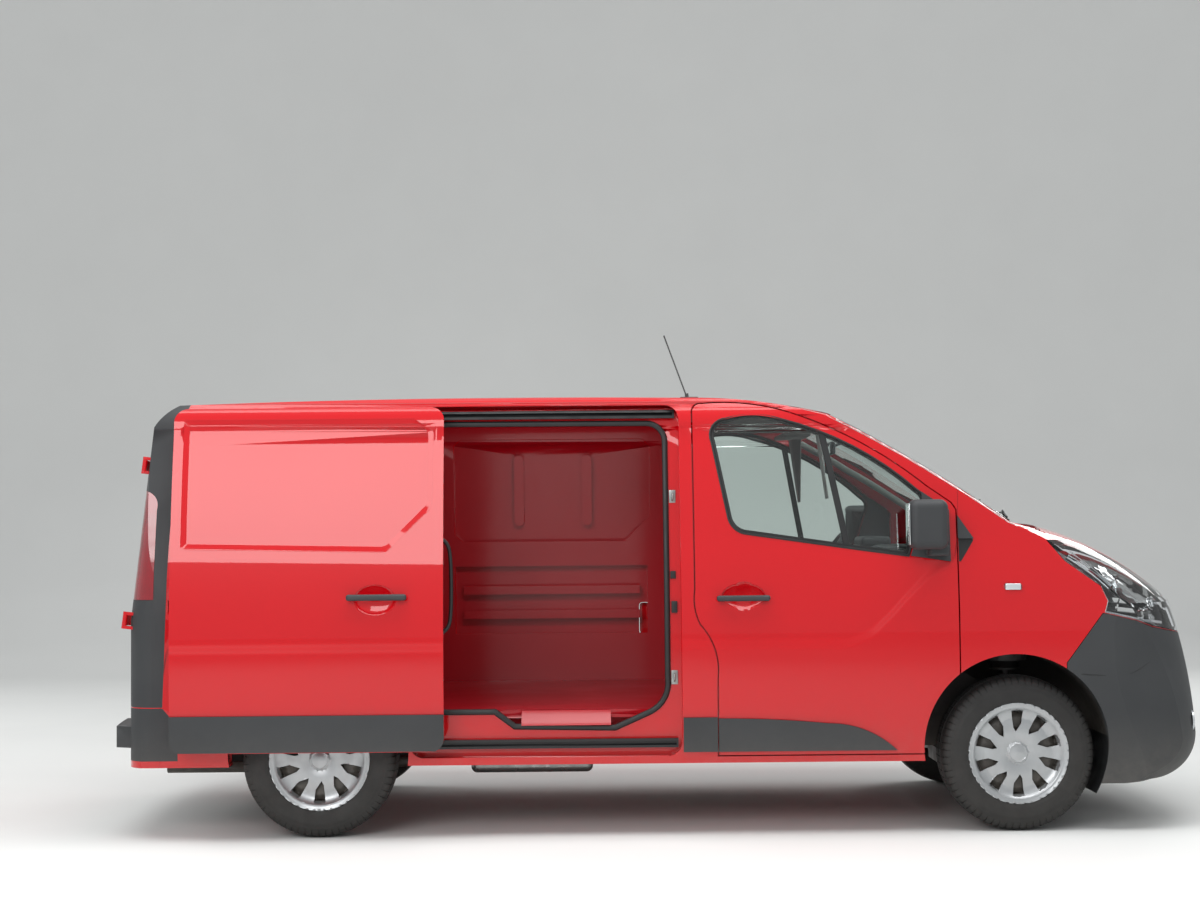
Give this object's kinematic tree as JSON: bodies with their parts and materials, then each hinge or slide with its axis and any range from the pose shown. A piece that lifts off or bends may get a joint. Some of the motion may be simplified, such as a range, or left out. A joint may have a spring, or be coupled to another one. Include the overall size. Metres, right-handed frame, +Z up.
{
  "type": "panel van",
  "caption": "Mid-size short-roof panel van with glazed cab, open sliding side door, twin rear doors, bonnet and steered front wheels.",
  "frame": {"origin": "on the ground at the middle of the outline", "axes": "+X forward, +Y to the van's left, +Z up"},
  "size_m": [4.9988, 2.283, 2.3041],
  "materials": {
    "body_paint": "glossy clear-coated red",
    "grey_plastic": "grained, unpainted",
    "cab_plastic": "fine grained",
    "clear_glass": "clear",
    "lamp_lens": "clear lens over bright bowls",
    "tail_lens": "ribbed red lens",
    "tyre_rubber": "matt",
    "wheel_silver": "satin silver",
    "chassis_steel": "black primer",
    "bare_steel": "turned",
    "cast_engine": "as cast",
    "seat_cloth": "woven"
  },
  "bodies": {
    "body": {"side_right": "body_paint", "side_left": "body_paint", "roof_panel": "body_paint", "front_wings": "body_paint", "sliding_door": "body_paint", "floor_pan": "body_paint", "cab_floor": "body_paint", "bulkhead": "body_paint", "engine_bay": "body_paint", "front_bumper": "grey_plastic", "rear_bumper": "grey_plastic", "corner_trims": "grey_plastic", "side_mouldings": "grey_plastic", "sliding_door_fittings": "grey_plastic", "grille": "grey_plastic", "scuttle": "grey_plastic", "wipers": "grey_plastic", "antenna": "grey_plastic", "door_rails": "grey_plastic", "fuel_tank": "grey_plastic", "dashboard": "cab_plastic", "windscreen": "clear_glass", "headlamps": "lamp_lens", "tail_lamps": "tail_lens", "spare_wheel": "tyre_rubber", "front_subframe": "chassis_steel", "front_suspension": "chassis_steel", "rear_axle": "chassis_steel", "exhaust": "bare_steel", "engine_block": "cast_engine", "seats": "seat_cloth"},
    "cab_door_r": {"cab_door_right": "body_paint", "cab_glass_right": "clear_glass", "cab_trim_right": "grey_plastic"},
    "cab_door_l": {"cab_door_left": "body_paint", "cab_glass_left": "clear_glass", "cab_trim_left": "grey_plastic"},
    "rear_door_r": {"rear_door_right": "body_paint"},
    "rear_door_l": {"rear_door_left": "body_paint"},
    "bonnet_lid": {"bonnet": "body_paint"},
    "steer_knuckle_l": {"knuckle_left": "bare_steel"},
    "steer_knuckle_r": {"knuckle_right": "bare_steel"},
    "handwheel": {"steering_wheel": "cab_plastic"},
    "fuel_lid": {"fuel_flap": "body_paint"},
    "road_wheel_fl": {"tyre_front_left": "tyre_rubber", "wheel_front_left": "wheel_silver"},
    "road_wheel_fr": {"tyre_front_right": "tyre_rubber", "wheel_front_right": "wheel_silver"},
    "road_wheel_rl": {"tyre_rear_left": "tyre_rubber", "wheel_rear_left": "wheel_silver"},
    "road_wheel_rr": {"tyre_rear_right": "tyre_rubber", "wheel_rear_right": "wheel_silver"}
  },
  "joints": [
    {"name": "cab_door_right_hinge", "type": "hinge", "parent": "body", "child": "cab_door_r", "pos_m": [1.27, -0.949, 0.8], "axis": [0, 0.04, 0.9992], "range_deg": [0, 70]},
    {"name": "cab_door_left_hinge", "type": "hinge", "parent": "body", "child": "cab_door_l", "pos_m": [1.27, 0.949, 0.8], "axis": [0, 0.04, -0.9992], "range_deg": [0, 70]},
    {"name": "rear_door_right_hinge", "type": "hinge", "parent": "body", "child": "rear_door_r", "pos_m": [-2.396, -0.884, 0.968], "axis": [0.1197, 0.0317, 0.9923], "range_deg": [0, 180]},
    {"name": "rear_door_left_hinge", "type": "hinge", "parent": "body", "child": "rear_door_l", "pos_m": [-2.396, 0.884, 0.968], "axis": [-0.1197, 0.0317, -0.9923], "range_deg": [0, 180]},
    {"name": "bonnet_hinge", "type": "hinge", "parent": "body", "child": "bonnet_lid", "pos_m": [1.685, 0, 1.315], "axis": [0, -1, 0], "range_deg": [0, 50]},
    {"name": "steer_left", "type": "hinge", "parent": "body", "child": "steer_knuckle_l", "pos_m": [1.5665, 0.7295, 0.343], "axis": [0, 0, 1], "range_deg": [-35, 35]},
    {"name": "steer_right", "type": "hinge", "parent": "body", "child": "steer_knuckle_r", "pos_m": [1.5665, -0.7295, 0.343], "axis": [0, 0, 1], "range_deg": [-35, 35]},
    {"name": "steering_wheel_turn", "type": "hinge", "parent": "body", "child": "handwheel", "pos_m": [0.88, 0.43, 1.165], "axis": [-0.848, 0, 0.5299], "range_deg": [-540, 540]},
    {"name": "fuel_flap_hinge", "type": "hinge", "parent": "body", "child": "fuel_lid", "pos_m": [0.09, 0.96, 0.875], "axis": [0, 0, -1], "range_deg": [0, 110]},
    {"name": "wheel_front_left_spin", "type": "hinge", "parent": "steer_knuckle_l", "child": "road_wheel_fl", "pos_m": [1.5665, 0.8075, 0.343], "axis": [0, 1, 0], "continuous": true},
    {"name": "wheel_front_right_spin", "type": "hinge", "parent": "steer_knuckle_r", "child": "road_wheel_fr", "pos_m": [1.5665, -0.8075, 0.343], "axis": [0, 1, 0], "continuous": true},
    {"name": "wheel_rear_left_spin", "type": "hinge", "parent": "body", "child": "road_wheel_rl", "pos_m": [-1.5315, 0.814, 0.343], "axis": [0, 1, 0], "continuous": true},
    {"name": "wheel_rear_right_spin", "type": "hinge", "parent": "body", "child": "road_wheel_rr", "pos_m": [-1.5315, -0.814, 0.343], "axis": [0, 1, 0], "continuous": true}
  ],
  "couplings": [
    {"joint": "steer_right", "follows": "steer_left", "ratio": 1},
    {"joint": "steering_wheel_turn", "follows": "steer_left", "ratio": 15}
  ]
}
